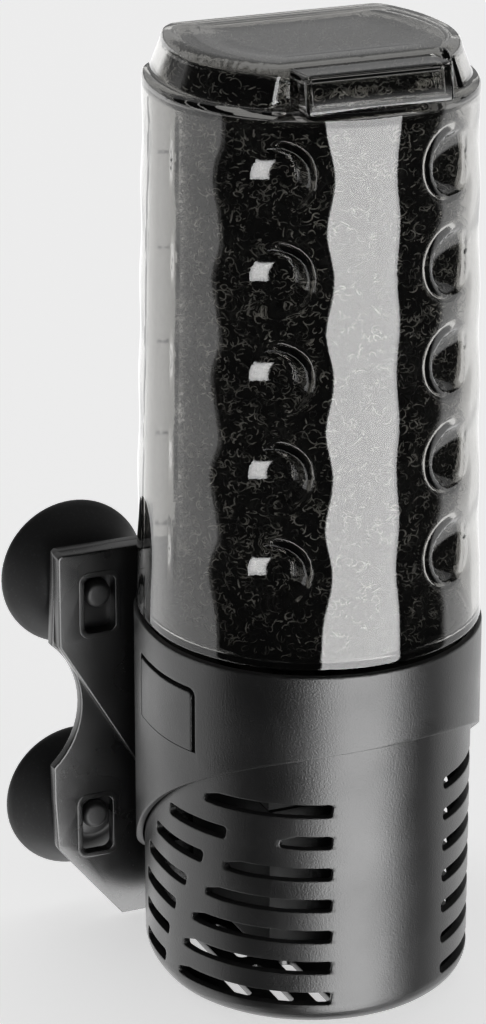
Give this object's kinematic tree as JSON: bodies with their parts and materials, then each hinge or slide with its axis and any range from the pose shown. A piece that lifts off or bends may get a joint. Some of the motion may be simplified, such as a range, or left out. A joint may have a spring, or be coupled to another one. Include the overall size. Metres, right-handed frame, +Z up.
{
  "type": "internal aquarium power filter",
  "caption": "Submersible aquarium filter: slotted strainer with a magnet-drive pump, a clear lift-off sponge cartridge and a sliding bracket with suction cups",
  "frame": {"origin": "on the body's plane of symmetry, 35.4 mm behind the middle of its front, at the flat underside of the strainer", "axes": "+X to the right of someone facing the front, the round front faces -Y and the suction cups +Y, +Z up"},
  "size_m": [0.1, 0.0799, 0.1963],
  "materials": {
    "black_plastic": "satin black moulded polypropylene",
    "pump_plastic": "dull black moulded plastic",
    "smoke_clear_plastic": "glossy clear grey-tinted moulded plastic",
    "black_foam": "open-cell reticulated black foam",
    "black_rubber": "soft satin black rubber",
    "grey_plastic": "grey moulded plastic",
    "impeller_plastic": "blue moulded plastic",
    "ferrite": "dark grey bonded ferrite",
    "stator_steel": "stacked electrical steel sheets",
    "copper_winding": "enamelled copper wire",
    "ceramic": "polished white ceramic",
    "stainless_steel": "bright stainless steel",
    "cable_sheath": "satin black cable sheath"
  },
  "bodies": {
    "housing": {"collar": "black_plastic", "motor_housing": "pump_plastic", "motor_cover": "pump_plastic", "impeller_chamber": "pump_plastic", "stator_core": "stator_steel", "coil_bobbin": "grey_plastic", "coil_winding": "copper_winding", "impeller_shaft": "ceramic", "bush_lower": "black_rubber", "bush_upper": "black_rubber", "intake_seal": "black_rubber", "nozzle_seal": "black_rubber", "cable_gland": "black_rubber", "cable": "cable_sheath", "pump_screw_1": "stainless_steel", "pump_screw_2": "stainless_steel", "pump_screw_3": "stainless_steel"},
    "strainer": {"strainer": "black_plastic"},
    "cartridge": {"container": "smoke_clear_plastic", "sponge": "black_foam", "core_tube": "grey_plastic", "bottom_grid": "black_plastic"},
    "latch_left": {"latch_left": "black_plastic"},
    "latch_right": {"latch_right": "black_plastic"},
    "rotor": {"rotor_magnet": "ferrite", "impeller": "impeller_plastic"},
    "nozzle": {"outlet_nozzle": "black_plastic"},
    "bracket": {"bracket": "black_plastic", "suction_cup_lower_left": "black_rubber", "suction_cup_lower_right": "black_rubber", "suction_cup_upper_left": "black_rubber", "suction_cup_upper_right": "black_rubber"}
  },
  "joints": [
    {"name": "cartridge_lift", "type": "slide", "parent": "housing", "child": "cartridge", "axis": [0, 0, 1], "range_m": [0, 0.06]},
    {"name": "strainer_pull", "type": "slide", "parent": "housing", "child": "strainer", "axis": [0, 0, -1], "range_m": [0, 0.06]},
    {"name": "latch_left_press", "type": "hinge", "parent": "housing", "child": "latch_left", "pos_m": [-0.03207, -0.00348, 0.05735], "axis": [-0.1001, 0.995, 0], "range_deg": [0, 4]},
    {"name": "latch_right_press", "type": "hinge", "parent": "housing", "child": "latch_right", "pos_m": [0.03207, -0.00348, 0.05735], "axis": [-0.1001, -0.995, 0], "range_deg": [0, 4]},
    {"name": "rotor_spin", "type": "hinge", "parent": "housing", "child": "rotor", "pos_m": [0, -0.007, 0.035], "axis": [0, 0, 1], "continuous": true},
    {"name": "nozzle_turn", "type": "hinge", "parent": "housing", "child": "nozzle", "pos_m": [0.03239, 0.01277, 0.0535], "axis": [0.9397, 0.342, 0], "range_deg": [-90, 90]},
    {"name": "bracket_slide", "type": "slide", "parent": "housing", "child": "bracket", "axis": [0, 0, -1], "range_m": [0, 0.038]}
  ]
}
